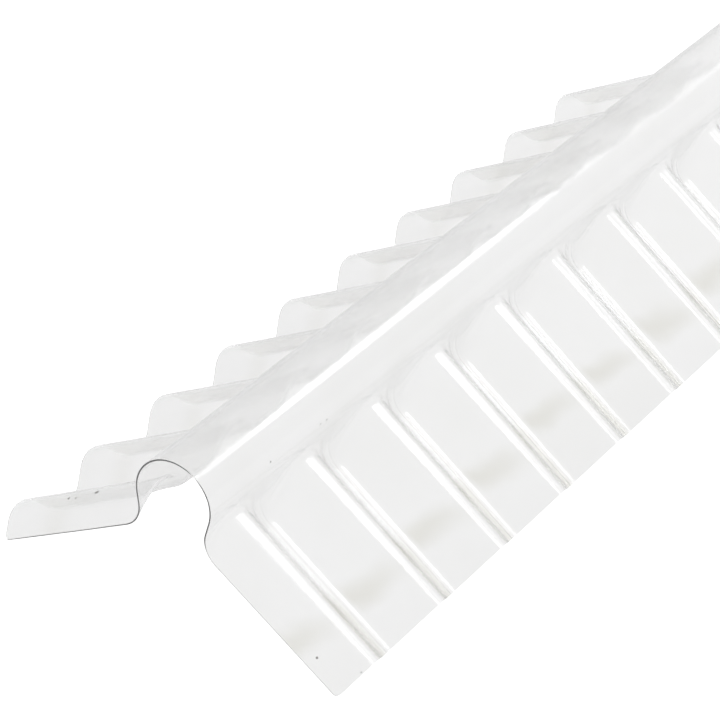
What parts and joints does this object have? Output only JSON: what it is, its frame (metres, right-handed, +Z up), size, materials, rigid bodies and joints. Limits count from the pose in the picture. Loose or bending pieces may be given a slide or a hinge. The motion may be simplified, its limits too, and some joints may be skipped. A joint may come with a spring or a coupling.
{
  "type": "roof ridge cap",
  "caption": "Clear corrugated plastic ridge cap: a round roll along the ridge with a sloping corrugated wing on each side, for covering the joint between two roof slopes.",
  "frame": {"origin": "on the floor under the middle of the cap", "axes": "+X across the ridge, +Y along it, +Z up"},
  "size_m": [0.2686, 0.762, 0.1231],
  "materials": {
    "clear_plastic": "clear thermoformed plastic sheet, glossy, slightly grey and lightly soiled"
  },
  "bodies": {
    "root": {"ridge_cap": "clear_plastic"}
  },
  "joints": []
}
